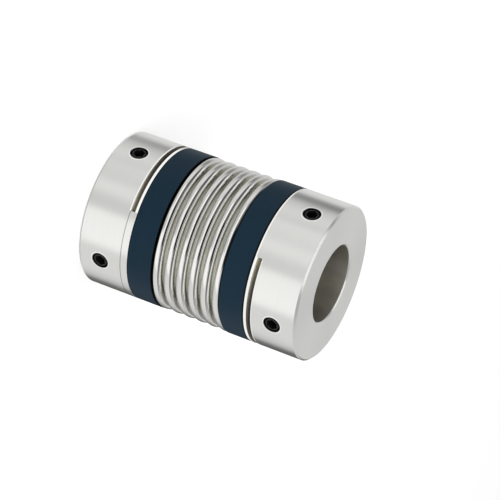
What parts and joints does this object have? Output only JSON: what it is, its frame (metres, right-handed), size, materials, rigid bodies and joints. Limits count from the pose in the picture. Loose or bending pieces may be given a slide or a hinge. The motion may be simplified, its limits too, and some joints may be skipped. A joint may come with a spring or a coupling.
{
  "type": "bellows coupling",
  "caption": "Round shaft coupling: thin folded metal bellows between two bored hubs with dark blue rings, half slots and recessed set screws.",
  "frame": {"origin": "centre of the lower end face, where the shaft axis meets it", "axes": "+Z along the shaft axis from the lower to the upper hub; the set screws are on the -Y side, 45 degrees to each side of -Y; the lower hub's half slot is on the -X side and the upper hub's on the +X side"},
  "size_m": [0.02, 0.02, 0.03],
  "materials": {
    "hub_metal": "satin, turned",
    "ring_blue": "dark blue anodised, matt",
    "bellows_steel": "bright, drawn and formed",
    "screw_black": "black oxide"
  },
  "bodies": {
    "root": {"lower_hub": "hub_metal", "upper_hub": "hub_metal", "lower_ring": "ring_blue", "upper_ring": "ring_blue", "bellows": "bellows_steel", "lower_set_screw_left": "screw_black", "lower_set_screw_right": "screw_black", "upper_set_screw_left": "screw_black", "upper_set_screw_right": "screw_black"}
  },
  "joints": []
}
